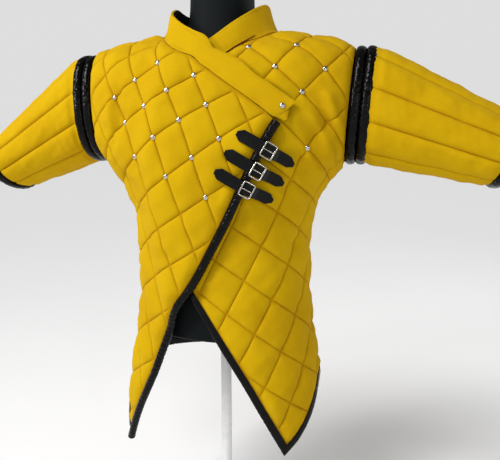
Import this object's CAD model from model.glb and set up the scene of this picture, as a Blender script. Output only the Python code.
"""The looks of a quilted wrap-over gambeson on a limbless dress form.

The numbers and the shared surface are the model's own, in metres, with +Z up and the front at -Y.
Each cloth piece is a thin wall on its solid's form, with its quilting, creases and stitches.
"""
import math

import bmesh
import bpy
import numpy as np
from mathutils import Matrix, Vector
from mathutils.bvhtree import BVHTree


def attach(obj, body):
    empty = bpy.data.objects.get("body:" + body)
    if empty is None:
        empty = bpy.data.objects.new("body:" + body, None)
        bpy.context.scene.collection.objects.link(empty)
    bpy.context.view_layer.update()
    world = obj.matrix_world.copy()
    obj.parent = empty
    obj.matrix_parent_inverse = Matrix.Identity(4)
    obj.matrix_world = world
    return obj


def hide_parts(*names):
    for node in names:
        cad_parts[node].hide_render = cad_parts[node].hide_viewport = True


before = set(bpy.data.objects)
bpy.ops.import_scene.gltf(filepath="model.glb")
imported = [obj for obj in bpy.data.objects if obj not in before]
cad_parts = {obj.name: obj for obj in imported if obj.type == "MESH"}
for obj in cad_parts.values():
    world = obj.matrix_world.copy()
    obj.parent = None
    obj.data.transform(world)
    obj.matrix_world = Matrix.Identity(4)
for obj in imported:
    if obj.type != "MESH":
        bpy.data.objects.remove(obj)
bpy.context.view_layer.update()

# Hollow body of the garment: the inner face of the cloth, from the hem (row 0) to the collar's top.
# side_z, front_z, back_z, half_width, front_depth, back_depth
BODY = np.array([
    (0.200, 0.200, 0.200, 0.212, 0.147, 0.140),
    (0.280, 0.280, 0.280, 0.206, 0.143, 0.137),
    (0.360, 0.360, 0.360, 0.195, 0.138, 0.133),
    (0.440, 0.440, 0.440, 0.179, 0.131, 0.128),
    (0.510, 0.510, 0.510, 0.169, 0.125, 0.123),
    (0.580, 0.580, 0.580, 0.162, 0.121, 0.120),
    (0.660, 0.660, 0.660, 0.163, 0.123, 0.124),
    (0.710, 0.710, 0.710, 0.167, 0.126, 0.129),
    (0.750, 0.750, 0.750, 0.184, 0.129, 0.133),
    (0.787, 0.790, 0.790, 0.208, 0.131, 0.136),
    (0.840, 0.840, 0.840, 0.262, 0.130, 0.137),
    (0.912, 0.910, 0.912, 0.276, 0.124, 0.131),
    (0.966, 0.950, 0.960, 0.268, 0.116, 0.121),
    (1.002, 0.967, 0.986, 0.248, 0.110, 0.110),
    (1.016, 0.976, 1.002, 0.192, 0.106, 0.101),
    (1.023, 0.982, 1.013, 0.145, 0.103, 0.092),
    (1.028, 0.988, 1.020, 0.100, 0.100, 0.083),
    (1.048, 1.002, 1.042, 0.090, 0.097, 0.076),
    (1.070, 1.018, 1.066, 0.084, 0.093, 0.072),
    (1.092, 1.034, 1.090, 0.080, 0.090, 0.070),
])
WAIST_ROW = 5
NECK_ROW = 16
BODY_ROUNDNESS = 2.25

# Dress form inside the garment, with the same columns, from its flat underside to its flat neck top
FORM = np.array([
    (0.474, 0.474, 0.474, 0.157, 0.114, 0.111),
    (0.524, 0.524, 0.524, 0.154, 0.111, 0.109),
    (0.580, 0.580, 0.580, 0.149, 0.108, 0.107),
    (0.660, 0.660, 0.660, 0.150, 0.110, 0.111),
    (0.710, 0.710, 0.710, 0.153, 0.113, 0.115),
    (0.750, 0.750, 0.750, 0.162, 0.116, 0.120),
    (0.790, 0.790, 0.790, 0.174, 0.118, 0.122),
    (0.850, 0.850, 0.850, 0.186, 0.116, 0.122),
    (0.910, 0.905, 0.907, 0.192, 0.110, 0.116),
    (0.966, 0.938, 0.948, 0.192, 0.102, 0.106),
    (1.000, 0.954, 0.974, 0.174, 0.096, 0.096),
    (1.018, 0.964, 0.992, 0.143, 0.092, 0.087),
    (1.028, 0.974, 1.006, 0.112, 0.088, 0.078),
    (1.036, 0.986, 1.017, 0.086, 0.082, 0.068),
    (1.046, 1.012, 1.040, 0.064, 0.064, 0.060),
    (1.070, 1.055, 1.068, 0.058, 0.059, 0.058),
    (1.130, 1.130, 1.130, 0.057, 0.058, 0.057),
])

# Cloth: a quilted wall, thin at the seams and padded between them
WALL = 0.0035
PUFF = 0.0060
SEAM_GAP = 0.0003
SEAM_TURN = 0.0012           # half the gap at a side or shoulder seam, as a turn

# Quilting: a seam crossing, cell size, slant, how much taller cells grow below which height, and
# how much further the seams slant above which height, in degrees, and the side it leans to
QUILTINGS = {
    "over": ((-0.0368, 0.8754), 0.0516, 25.7, 1.40, 0.867, 0.0, 0.85, 1),
    "under": ((0.1184, 0.9638), 0.0586, 31.1, 1.24, 0.880, 7.6, 0.80, -1),
    "back": ((0.0000, 0.8800), 0.0560, 28.0, 1.30, 0.800, 0.0, 0.85, 1),
}
STRETCH_BLEND = 0.08         # height over which the cells' stretch sets in, and the further slant
TWIST_BLEND = 0.20
OVERLAP_LIFT = 0.0120        # the over front lies on the under front by this much
LIFT_MARGIN = 0.065          # the lift starts this far before the hidden edge, and is whole after
LIFT_BLEND = 0.050
LIFT_FROM = 0.490            # height at which the lift starts, and over which it grows
LIFT_RISE = 0.060
SHOWN_BELOW = 0.560          # height below which nothing covers the under front
LINING = 0.0010
LINING_TOP = 0.54
LINING_DROP = 0.0075

# Leather and trims
PIPE_RADIUS = 0.0075
PIPE_RISE = 0.0035           # of the piping's middle over the over front's inner face
BINDING_WIDTH = 0.0130
BAND_RADIUS = 0.0090
BAND_AT = 0.0128             # of the inner band's middle beyond the armhole
BAND_STEP = 2 * BAND_RADIUS + 0.0004

# Armholes lie in planes that lean out towards the shoulder
ARM_X = 0.2345
ARM_LEAN = 0.07
ARM_Z = 0.905
ARM_STATIONS = 12

# Sleeves: cuff centre x and z, half height, half depth, how far the cuff's plane leans, in degrees
SLEEVES = {
    "right": (-1, 0.4620, 0.7950, 0.0510, 0.0640, 28.0),
    "left": (1, 0.4920, 0.8250, 0.0545, 0.0670, 18.0),
}
SLEEVE_CHANNELS = 10
SLEEVE_TOP = 1 - 0.004 / 0.095   # size of a sleeve's top, as a share of the armhole's
CUFF_AT = (1.004, 1.088)     # shares of the sleeve's length that its cuff binding covers

# Pattern points of the wrap-over, as distance from centre front and height up the cloth
PIPING_LINE = [(0.1243, 0.8750), (0.1088, 0.8494), (0.0758, 0.7852), (0.0456, 0.7189),
               (0.0136, 0.6541), (-0.0226, 0.5859), (-0.0531, 0.5403), (-0.0846, 0.4645),
               (-0.1090, 0.4050), (-0.1300, 0.3626), (-0.1594, 0.3050), (-0.1900, 0.2370)]
UNDER_EDGE = [(-0.0318, 0.5690), (-0.0084, 0.5338), (0.0281, 0.4769), (0.0542, 0.4354),
              (0.0772, 0.3981), (0.1006, 0.3565), (0.1212, 0.3200), (0.1495, 0.2689)]
UNDER_HEM = [(0.1724, 0.2875), (0.1928, 0.3087), (0.2131, 0.3331), (0.2320, 0.3570),
             (0.2480, 0.3690), (0.2670, 0.3725)]
OVER_HEM = [(-0.2060, 0.2650), (-0.2190, 0.2960), (-0.2320, 0.3270), (-0.2430, 0.3530),
            (-0.2530, 0.3680), (-0.2670, 0.3725)]
HIDDEN_EDGE = [(-0.0500, 0.6050), (-0.0600, 0.6700), (-0.0700, 0.7450), (-0.0720, 0.8100),
               (-0.0650, 0.8800), (-0.0500, 0.9400)]
BACK_HEM_HEIGHT = 0.3725
HEM_SIDE = 0.26              # distance of a side seam from the centre, at the hem

# Folds and creases: from x, y to x, y on the panel, half width, and rise (a trough is below 0). The
# large ones, which the solids have too, come first in each list.
FOLDS = {
    "front_under": [
        (0.172, 0.948, 0.215, 0.872, 0.011, -0.0055), (0.198, 0.945, 0.226, 0.880, 0.010, 0.0040),
        (0.160, 0.898, 0.204, 0.812, 0.012, -0.0060), (0.172, 0.905, 0.214, 0.835, 0.010, 0.0045),
        (0.140, 0.846, 0.198, 0.758, 0.012, -0.0050), (0.156, 0.860, 0.210, 0.790, 0.010, 0.0040),
        (0.120, 0.700, 0.190, 0.640, 0.014, -0.0040), (0.083, 0.748, 0.096, 0.706, 0.007, -0.0025),
        (0.066, 0.735, 0.074, 0.690, 0.006, -0.0022), (0.190, 0.985, 0.205, 0.930, 0.008, -0.0020),
        (0.120, 0.790, 0.165, 0.735, 0.009, -0.0025), (0.150, 0.700, 0.225, 0.665, 0.010, -0.0030),
        (0.100, 0.600, 0.185, 0.560, 0.012, 0.0030), (0.130, 0.480, 0.200, 0.430, 0.012, -0.0025),
        (0.185, 0.880, 0.212, 0.838, 0.006, -0.0030), (0.090, 0.440, 0.150, 0.330, 0.014, 0.0025),
        (0.189, 0.936, 0.217, 0.872, 0.006, -0.0062), (0.222, 0.868, 0.242, 0.826, 0.006, -0.0056),
        (0.177, 0.886, 0.206, 0.834, 0.006, -0.0062), (0.156, 0.836, 0.191, 0.785, 0.006, -0.0056),
        (0.212, 0.826, 0.240, 0.800, 0.005, -0.0042),
    ],
    "front_over": [
        (-0.166, 0.955, -0.164, 0.845, 0.011, -0.0060), (-0.184, 0.940, -0.180, 0.850, 0.010, 0.0045),
        (-0.140, 0.935, -0.156, 0.865, 0.011, -0.0035), (-0.190, 0.800, -0.120, 0.730, 0.014, -0.0040),
        (-0.200, 0.660, -0.150, 0.590, 0.014, 0.0040), (-0.195, 0.890, -0.172, 0.830, 0.007, -0.0055),
        (0.045, 0.790, 0.020, 0.735, 0.008, -0.0022), (-0.195, 0.760, -0.110, 0.690, 0.010, -0.0025),
        (0.020, 0.700, -0.060, 0.650, 0.011, -0.0020), (-0.130, 0.700, -0.060, 0.640, 0.012, 0.0022),
        (-0.170, 0.480, -0.120, 0.400, 0.013, 0.0030), (-0.120, 0.985, -0.070, 0.955, 0.010, -0.0018),
        (-0.205, 0.560, -0.130, 0.510, 0.010, -0.0025),
    ],
    "back": [
        (-0.185, 0.960, -0.175, 0.850, 0.011, -0.0055), (0.183, 0.955, 0.178, 0.860, 0.011, -0.0055),
        (-0.215, 0.850, -0.130, 0.740, 0.014, -0.0050), (0.212, 0.845, 0.125, 0.745, 0.014, -0.0050),
        (0.120, 0.640, 0.020, 0.600, 0.014, 0.0040), (-0.150, 0.600, -0.050, 0.570, 0.014, -0.0040),
        (-0.200, 0.900, -0.165, 0.820, 0.008, -0.0030), (0.196, 0.905, 0.160, 0.825, 0.008, -0.0030),
        (-0.060, 0.985, 0.050, 0.975, 0.012, -0.0020), (0.180, 0.720, 0.090, 0.650, 0.010, -0.0028),
        (-0.190, 0.730, -0.100, 0.655, 0.011, -0.0028), (0.100, 0.560, 0.010, 0.520, 0.012, 0.0025),
        (-0.170, 0.500, -0.090, 0.450, 0.012, 0.0025), (0.190, 0.480, 0.120, 0.440, 0.012, -0.0022),
    ],
}

# Collar seam and top edge: turn and row pairs round the neck, then pattern points down the front
OVER_SEAM = [(-0.0325, 0.9823), (0.0000, 0.9615), (0.0325, 0.9403), (0.0651, 0.9185),
             (0.0930, 0.9000), (0.1211, 0.8814), (0.1400, 0.8935)]
OVER_TOP = [(-0.0220, 1.0280), (0.0065, 1.0092), (0.0420, 0.9785), (0.0790, 0.9544),
            (0.1110, 0.9332), (0.1396, 0.9158), (0.1529, 0.9084)]
UNDER_SEAM = [(0.0575, 1.0085), (0.0346, 0.9892), (0.0120, 0.9750), (-0.0120, 0.9600), (-0.0400, 0.9430)]
UNDER_TOP = [(0.0420, 1.0440), (0.0150, 1.0230), (-0.0060, 1.0080), (-0.0260, 0.9940), (-0.0450, 0.9760)]
COLLAR_STATIONS = 32
COLLAR_GAP = 0.0008          # between a front's edge and its collar's seam

# Studs, by seam crossings of each front's quilting
OVER_STUDS = [(0, -2), (1, -1), (-1, -2), (0, -1), (1, 0), (-1, -1), (-2, -2), (0, 0), (1, 1),
              (-1, 0), (-2, -1), (0, 1), (-2, 0), (-1, 1), (0, 2)]
UNDER_STUDS = [(0, 0), (1, 0), (-1, 0), (0, -1), (-1, -1), (-2, 1)]
STUD_RADIUS = 0.0050
STUD_HEIGHT = 0.0035
STUD_SINK = 0.0002
COLLAR_STUD = (0.1322, 0.8993)
TAB = [(0.1220, 0.8814), (0.1434, 0.8952), (0.1400, 0.8797), (0.1345, 0.8767)]

# Straps: pattern points of the pointed ends
STRAPS = [((0.0621, 0.8542), (0.1515, 0.8090)), ((0.0428, 0.8242), (0.1346, 0.7747)),
          ((0.0260, 0.7937), (0.1161, 0.7440))]
STRAP_WIDTH = 0.020
STRAP_THICK = 0.0022
BUCKLE_AT = 0.55             # share of the way along the strap
BUCKLE_LENGTH = 0.0200
BUCKLE_WIDTH = 0.0246
BUCKLE_WIRE = 0.0013
BUCKLE_CORNER = 0.003
PRONG_RADIUS = 0.0009
STRAP_LOW_OVER = 0.0222      # heights of the straps' undersides off the trunk
STRAP_LOW_UNDER = 0.0102
STRAP_HIGH = 0.0256

# Stand
POLE_RADIUS = 0.011
BASE_RADIUS = 0.170
BASE_THICK = 0.012
HUB_RADIUS = 0.024
HUB_TOP = 0.040

FINE = 24                    # steps between two rows of a section table

# Where the seam of the under collar gapes, in pattern metres
SLIT = np.array([(0.0348, 0.9888), (0.0457, 0.9991), (0.0575, 1.0081), (0.0711, 1.0186),
                 (0.0863, 1.0314)])
SLIT_WIDTH = (0.0010, -0.0016)

# Shares of a quilting cell at which its fine mesh is cut
CELL_SHARES = (0.0, 0.02, 0.06, 0.13, 0.22, 0.32, 0.41, 0.5, 0.59, 0.68, 0.78, 0.87, 0.94, 0.98)

# Grooves, padding, trims and stitches of the finer pieces
GROOVE = 0.0005
GROOVE_WIDTH = 0.0013
TUCK = 0.0015                # by which a binding covers its cloth
TIP_LENGTH = 0.44            # of a strap's pointed end, in strap widths
TIP_WIDTH = 0.36
BAND_FLAT = 0.30             # share by which the arm bands are pressed flat, and how far they sink in
BAND_SINK = 0.0020
WEAVE_SCALE = 300.0          # of the weave's waves: about 10 yarns in a centimetre
STITCH_STEP = 0.0046
STITCH_LENGTH = 0.0034
STITCH_RADIUS = 0.00045
STITCH_SINK = 0.0002         # depth of a stitch's ends in the cloth
RIM_FADE = 0.012             # over which padding and folds fade out towards a panel's rim
PAD_POWER = 0.46             # the lower, the flatter the top of the padding
SLEEVE_PAD_POWER = 0.45
SLACK = ((0.036, 0.00075), (0.014, 0.00024))     # wavelength and height of the cloth's unevenness
BINDING_FACES = (-0.0018, 0.0058)                # offsets of a binding's inner and outer face
BINDING_CREASE = (0.00045, 0.012)                # depth and spacing of creases in padded leather
PIPE_CREASE = (0.0012, 0.010)
BAND_CREASE = (0.0012, 0.015)
CUFF_CREASE = 0.00055
LINING_SPARE = 0.002                             # by which a lining ends short of its panel's edge
COLLAR_RINGS = 220
COLLAR_SEWING = (0.0046, 0.10, 0.90)             # height of a collar's stitches and where they run

# Camera: an image 500 wide, its focal length and middle in pixels, its angles in degrees, its height
IMAGE_WIDTH = 500
FOCAL = 510
MIDDLE = 224.5
CAMERA_AROUND = 16.0
CAMERA_DOWN = 11.0
CAMERA_HEIGHT = 0.86

# Light of the surroundings: its strength goes from one value to the other between two heights
WORLD_FALL = {"From Min": 0.25, "From Max": 0.60, "To Min": 0.73, "To Max": 0.16}

# Lamps: place, aim, width in metres (of the sun in degrees) and power
LAMPS = [
    ("key", "SUN", (-1.55, -1.85, 3.2), (0.0, 0.0, 0.0), 24.0, 1.68),
    ("gloss", "AREA", (-0.8, -1.2, 2.1), (0.0, 0.0, 0.95), 0.30, 7.5),
    ("streak", "AREA", (-1.32, -1.06, 1.45), (0.0, 0.0, 0.95), 0.38, 10.5),
    ("side_gloss", "AREA", (1.1, -1.7, 1.3), (0.0, 0.0, 0.85), 0.18, 2.0),
    ("rim", "AREA", (1.9, 1.4, 1.9), (0.0, 0.0, 0.85), 0.5, 8.0),
]


def run_lengths(points):
    """Length run along a line, at each of its points."""
    return np.concatenate([[0], np.cumsum(np.linalg.norm(np.diff(points, axis=0), axis=1))])


def read_at(spots, known, table):
    """Rows of a table, read at spots between its known places."""
    return np.stack([np.interp(spots, known, column) for column in table.T], 1)


def even_loop(ring, count):
    """Evenly spaced points on a closed line, which ends where it starts."""
    length = run_lengths(ring)
    return read_at(np.linspace(0, length[-1], count, endpoint=False), length, ring)


def smooth_rows(rows, blur=0.40):
    """A section table with fine, softly blended rows, and their row numbers."""
    count = len(rows)
    row = np.linspace(0, count - 1, (count - 1) * FINE + 1)
    columns = read_at(row, range(count), rows)
    half = int(3 * blur * FINE)
    kernel = np.exp(-0.5 * (np.arange(-half, half + 1) / (blur * FINE)) ** 2)
    kernel /= kernel.sum()
    low = 2 * columns[:1] - columns[half:0:-1]
    high = 2 * columns[-1:] - columns[-2:-half - 2:-1]
    padded = np.concatenate([low, columns, high])
    return row, np.stack([np.convolve(column, kernel, "valid") for column in padded.T], 1)


class Trunk:
    """A round hollow surface: turn is 0 at centre front and grows towards +X, row counts upwards."""

    def __init__(self, table):
        self.row, self.columns = smooth_rows(table)

    def point(self, turn, row):
        side, front, back, width, front_depth, back_depth = [
            np.interp(row, self.row, column) for column in self.columns.T]
        s, c = np.sin(turn), np.cos(turn)
        q = (np.abs(s) ** BODY_ROUNDNESS + np.abs(c) ** BODY_ROUNDNESS) ** (-1 / BODY_ROUNDNESS)
        z = side + (np.where(c > 0, front, back) - side) * c ** 2
        return np.stack([q * width * s, -q * np.where(c > 0, front_depth, back_depth) * c, z], -1)

    def normal(self, turn, row, step=1e-3):
        round_way = self.point(turn + step, row) - self.point(turn - step, row)
        up_way = self.point(turn, row + 20 * step) - self.point(turn, row - 20 * step)
        across = np.cross(round_way, up_way)
        return across / np.linalg.norm(across, axis=-1, keepdims=True)

    def out(self, turn, row, offset):
        turn, row = np.asarray(turn, float), np.asarray(row, float)
        return self.point(turn, row) + np.asarray(offset)[..., None] * self.normal(turn, row)


def look_up(table, rows, columns, r, c):
    """Bilinear value of a table at row value r and column value c."""
    i = np.clip(np.searchsorted(rows, r, "right") - 1, 0, len(rows) - 2)
    j = np.clip(np.searchsorted(columns, c, "right") - 1, 0, len(columns) - 2)
    a = np.clip((r - rows[i]) / (rows[i + 1] - rows[i]), 0, 1)
    b = np.clip((c - columns[j]) / (columns[j + 1] - columns[j]), 0, 1)
    low = (1 - b) * table[i, j] + b * table[i, j + 1]
    high = (1 - b) * table[i + 1, j] + b * table[i + 1, j + 1]
    return (1 - a) * low + a * high


class Pattern:
    """Flat cloth laid on one half of the trunk: x runs round from the centre, y up the cloth."""

    def __init__(self, trunk, front):
        self.trunk, self.front = trunk, front
        self.turns = np.linspace(0, math.radians(130), 100)
        self.xs = np.linspace(0, 0.42, 100)
        self.ys = np.linspace(0.15, 1.22, 300)
        turn, row = np.meshgrid(self.turns, trunk.row)
        points = trunk.point(self.world_turn(turn), row)
        self.arc = np.zeros(turn.shape)
        self.arc[:, 1:] = np.cumsum(np.linalg.norm(np.diff(points, axis=1), axis=2), axis=1)
        self.turn = np.array([np.interp(self.xs, arc, self.turns) for arc in self.arc])
        row = np.meshgrid(self.xs, trunk.row)[1]
        points = trunk.point(self.world_turn(self.turn), row)
        self.run = np.zeros(row.shape)
        self.run[1:] = np.cumsum(np.linalg.norm(np.diff(points, axis=0), axis=2), axis=0)
        self.run += BODY[WAIST_ROW, 0] - self.run[WAIST_ROW * FINE]
        self.level = np.array([np.interp(self.ys, run, trunk.row) for run in self.run.T]).T

    def world_turn(self, turn):
        return turn if self.front else math.pi - turn

    def to_trunk(self, x, y):
        x, y = np.asarray(x, float), np.asarray(y, float)
        row = look_up(self.level, self.ys, self.xs, y, np.abs(x))
        turn = np.sign(x) * look_up(self.turn, self.trunk.row, self.xs, row, np.abs(x))
        return self.world_turn(turn), row

    def from_trunk(self, turn, row):
        local = (self.world_turn(np.asarray(turn, float)) + math.pi) % (2 * math.pi) - math.pi
        x = look_up(self.arc, self.trunk.row, self.turns, np.asarray(row, float), np.abs(local))
        return np.sign(local) * x, look_up(self.run, self.trunk.row, self.xs, row, x)

    def place(self, x, y, offset):
        turn, row = self.to_trunk(x, y)
        return self.trunk.out(turn, row, offset)


def smoothstep(value):
    value = np.clip(value, 0, 1)
    return value * value * (3 - 2 * value)


def along(points, count):
    """Evenly spaced points on a smooth curve through the given ones."""
    points = np.asarray(points, float)
    padded = np.concatenate([2 * points[:1] - points[1:2], points, 2 * points[-1:] - points[-2:-1]])
    fine = []
    for i in range(1, len(padded) - 2):
        a, b, c, d = padded[i - 1:i + 3]
        t = np.linspace(0, 1, 12, endpoint=False)[:, None]
        fine.append(0.5 * (2 * b + (c - a) * t + (2 * a - 5 * b + 4 * c - d) * t ** 2
                           + (3 * b - a - 3 * c + d) * t ** 3))
    fine = np.concatenate(fine + [points[-1:]])
    length = run_lengths(fine)
    return read_at(np.linspace(0, length[-1], count), length, fine)


TRUNK = Trunk(BODY)
FORM_TRUNK = Trunk(FORM)
FRONT = Pattern(TRUNK, True)
BACK = Pattern(TRUNK, False)


class Quilting:
    """Square seams sewn on the slant, and the plane in which they are straight and even."""

    def __init__(self, origin, pitch, slant, stretch, stretch_below, twist, twist_above, side):
        self.origin, self.pitch = np.array(origin), pitch
        c, s = math.cos(math.radians(slant)), math.sin(math.radians(slant))
        self.axes = np.array([(side * c, s), (side * s, -c)])
        self.twist, self.twist_above = side * math.radians(twist), twist_above
        self.ys = np.linspace(0.0, 1.3, 400)
        slope = 1 / (1 + (stretch - 1) * smoothstep(
            (stretch_below + STRETCH_BLEND / 2 - self.ys) / STRETCH_BLEND))
        self.sewn = np.concatenate([[0], np.cumsum((slope[1:] + slope[:-1]) / 2 * np.diff(self.ys))])
        self.sewn += origin[1] - np.interp(origin[1], self.ys, self.sewn)

    def turned(self, points, y, way):
        angle = way * self.twist * smoothstep((y - self.twist_above + TWIST_BLEND / 2) / TWIST_BLEND)
        c, s = np.cos(angle), np.sin(angle)
        x, y = (points - self.origin).T
        return self.origin + np.stack([c * x - s * y, s * x + c * y], 1)

    def squash(self, flat):
        even = self.turned(flat, flat[:, 1], -1)
        return np.stack([even[:, 0], np.interp(even[:, 1], self.ys, self.sewn)], 1)

    def unsquash(self, squashed):
        even = np.stack([squashed[:, 0], np.interp(squashed[:, 1], self.sewn, self.ys)], 1)
        flat = even
        for _ in range(20):
            flat = self.turned(even, flat[:, 1], 1)
        return flat

    def crossing(self, a, b):
        spot = self.origin + self.pitch * (a * self.axes[0] + b * self.axes[1])
        return self.unsquash(spot[None])[0]


OVER_QUILT = Quilting(*QUILTINGS["over"])
UNDER_QUILT = Quilting(*QUILTINGS["under"])
BACK_QUILT = Quilting(*QUILTINGS["back"])


def armhole(side, front):
    """Turn and row of an armhole's front or back edge, from the armpit up to the shoulder."""
    def beyond(turn, row):
        point = TRUNK.point(turn, row)
        return abs(point[..., 0]) - (ARM_X + ARM_LEAN * (point[..., 2] - ARM_Z))

    def root(low, high, test):
        for _ in range(50):
            middle = (low + high) / 2
            if test(middle) > 0:
                high = middle
            else:
                low = middle
        return (low + high) / 2

    right_angle = math.pi / 2
    bottom = root(8.0, 11.0, lambda row: beyond(right_angle, row))
    top = root(15.0, 11.0, lambda row: beyond(right_angle, row))
    edge = []
    for k in range(ARM_STATIONS + 1):
        row = bottom + (top - bottom) * (1 - math.cos(math.pi * k / ARM_STATIONS)) / 2
        turn = root(0.0, right_angle, lambda value: beyond(value, row))
        if k in (0, ARM_STATIONS):
            turn = right_angle
        edge.append((side * (turn if front else math.pi - turn), row))
    return np.array(edge)


def over_lift(x, y):
    """How far the over front stands off the trunk, to clear the under front."""
    inner = np.interp(y, [point[1] for point in HIDDEN_EDGE], [point[0] for point in HIDDEN_EDGE])
    beyond = smoothstep((x - (inner - LIFT_MARGIN)) / LIFT_BLEND)
    above = smoothstep((y - LIFT_FROM) / LIFT_RISE)
    return OVERLAP_LIFT * beyond * above


def covered(x, y):
    """1 where the under front shows, 0 where the over front and its collar hide it."""
    edge = [(UNDER_EDGE[0][0], SHOWN_BELOW)] + PIPING_LINE[5::-1] + OVER_TOP[::-1]
    edge_x = np.interp(y, [point[1] for point in edge], [point[0] for point in edge])
    shown = smoothstep((x - edge_x - 0.012) / 0.012)
    return np.where(y < SHOWN_BELOW, 1.0, shown)


def fold_rise(panel, flat):
    """How far a panel's folds move its flat points out of the smooth surface."""
    rise = np.zeros(len(flat))
    for x0, y0, x1, y1, width, height in FOLDS[panel]:
        start, step = np.array((x0, y0)), np.array((x1 - x0, y1 - y0))
        share = (flat - start) @ step / (step @ step)
        away = flat - start - np.clip(share, 0, 1)[:, None] * step
        across = np.sum(away ** 2, axis=1) / width ** 2
        rise += height * np.exp(-across) * smoothstep(share / 0.3) * smoothstep((1 - share) / 0.3)
    return rise


def outline_distance(points, outline):
    """Shortest flat distance from each point to a closed outline."""
    best = np.full(len(points), 1e9)
    for a, b in zip(outline, np.roll(outline, -1, axis=0)):
        step = b - a
        t = np.clip(((points - a) @ step) / max(step @ step, 1e-12), 0, 1)
        best = np.minimum(best, np.linalg.norm(points - a - t[:, None] * step, axis=1))
    return best


def to_turn_row(points):
    return np.stack(FRONT.to_trunk(*np.asarray(points, float).T), 1)


def collar_lines(side, seam, top, count):
    """Seam and top edge of half a collar, from centre back round the neck and down the front."""
    turns = np.radians([179.6, 150, 120, 95, 72, 50])
    rises = np.array([2.2, 2.2, 2.25, 2.4, 2.5, 2.6])
    round_seam = [(side * turn, NECK_ROW) for turn in turns]
    round_top = [(side * turn, NECK_ROW + rise) for turn, rise in zip(turns, rises)]
    seam = np.concatenate([round_seam, to_turn_row(seam)])
    top = np.concatenate([round_top, to_turn_row(top)])
    scale = np.array((0.1, 0.03))
    both = along(np.concatenate([seam * scale, top * scale], axis=1), count)
    return both[:, :2] / scale, both[:, 2:] / scale


def mitred(line, distance):
    """A flat line moved sideways, to the right of its direction, with true corners."""
    line = np.asarray(line, float)
    step = np.diff(line, axis=0)
    step /= np.linalg.norm(step, axis=1, keepdims=True)
    side = np.stack([step[:, 1], -step[:, 0]], 1)
    before = np.concatenate([side[:1], side])
    after = np.concatenate([side, side[-1:]])
    middle = before + after
    middle /= np.linalg.norm(middle, axis=1, keepdims=True)
    reach = distance / np.maximum(np.sum(middle * after, axis=1, keepdims=True), 0.3)
    return line + middle * reach


def spaced(outline, least=0.003):
    """An outline without points closer than the least distance to the one before."""
    kept = [outline[0]]
    for point in outline[1:]:
        if np.linalg.norm(point - kept[-1]) > least:
            kept.append(point)
    if np.linalg.norm(kept[-1] - kept[0]) < least:
        kept.pop()
    return np.array(kept)


def seam_points(pattern, side, rows):
    """Flat points of a side or shoulder seam."""
    quarter = np.full(len(rows), side * (math.pi / 2))
    return np.stack(pattern.from_trunk(quarter, rows), 1)


def panel_side(pattern, side, low_row):
    """Flat outline up one side: side seam, armhole and shoulder seam, ending at the neck."""
    edge = armhole(side, pattern.front)
    hole = np.stack(pattern.from_trunk(edge[:, 0], edge[:, 1]), 1)
    low = seam_points(pattern, side, np.linspace(low_row, edge[0, 1], 12)[:-1])
    high = seam_points(pattern, side, np.linspace(edge[-1, 1], NECK_ROW - 0.03, 5)[1:])
    return np.concatenate([low, hole, high])


def seam_below_collar(side, seam, top, gap, end):
    """The front's own edge below its collar, from the shoulder seam down to the given x."""
    line, _ = collar_lines(side, seam, top, COLLAR_STATIONS)
    flat = np.stack(FRONT.from_trunk(line[:, 0], line[:, 1]), 1)
    shown = (np.degrees(np.abs(line[:, 0])) < 84) & (-side * flat[:, 0] < end)
    return mitred(flat[shown], gap)


def front_outlines(spare=0.0):
    """Flat outlines of both fronts, cut back at free edges by spare, and the lines of their trims."""
    piping = along(PIPING_LINE, 24)
    over_path = np.concatenate([piping, OVER_HEM])
    over_edge = mitred(over_path, PIPE_RADIUS + SEAM_GAP + spare)
    collar_edge = seam_below_collar(-1, OVER_SEAM, OVER_TOP, COLLAR_GAP, 0.1165)
    over_edge = over_edge[over_edge[:, 1] < collar_edge[-1, 1] - 0.003]
    hem_row = FRONT.to_trunk(HEM_SIDE, OVER_HEM[-1][1] + PIPE_RADIUS + 0.004 + spare)[1]
    over = np.concatenate([collar_edge, over_edge, panel_side(FRONT, -1, float(hem_row))])

    under_path = np.concatenate([along(UNDER_EDGE, 14), UNDER_HEM])
    under_edge = mitred(under_path, -(BINDING_WIDTH / 2 + SEAM_GAP + spare))
    collar_edge = seam_below_collar(1, UNDER_SEAM, UNDER_TOP, -COLLAR_GAP, 0.0500)
    hidden = np.array(HIDDEN_EDGE[::-1])
    under = np.concatenate([collar_edge, hidden, under_edge, panel_side(FRONT, 1, float(hem_row))])
    return spaced(over), spaced(under), piping, over_path, under_path


def back_outline(spare=0.0):
    row = float(BACK.to_trunk(HEM_SIDE, BACK_HEM_HEIGHT + BINDING_WIDTH / 2 + SEAM_GAP + spare)[1])
    one = panel_side(BACK, 1, row)
    other = one[::-1] * (-1, 1)
    turns = np.radians(np.linspace(84, -84, 15))
    neck = np.stack(BACK.from_trunk(math.pi - turns, np.full(15, NECK_ROW - 0.03)), 1)
    hem = np.stack([np.linspace(other[-1, 0], one[0, 0], 16)[1:-1], np.full(14, one[0, 1])], 1)
    return spaced(np.concatenate([one, neck * (np.sign(neck[0, 0]), 1), other, hem]))


def arm_loop(side, count):
    """Evenly spaced points round an armhole in its own plane, from the armpit over the front."""
    front = armhole(side, True)
    back = armhole(side, False)[::-1]
    edge = np.concatenate([front, back[1:-1]])
    points = TRUNK.out(edge[:, 0], edge[:, 1], np.full(len(edge), WALL))
    return even_loop(np.concatenate([points, points[:1]])[:, 1:], count)


def in_arm_plane(side, loop, beyond):
    """Points of an armhole's loop, in its leaning plane or that far beyond it."""
    x = ARM_X + ARM_LEAN * (loop[:, 1] - ARM_Z) + beyond
    return np.stack([side * x, loop[:, 0], loop[:, 1]], 1)


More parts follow.
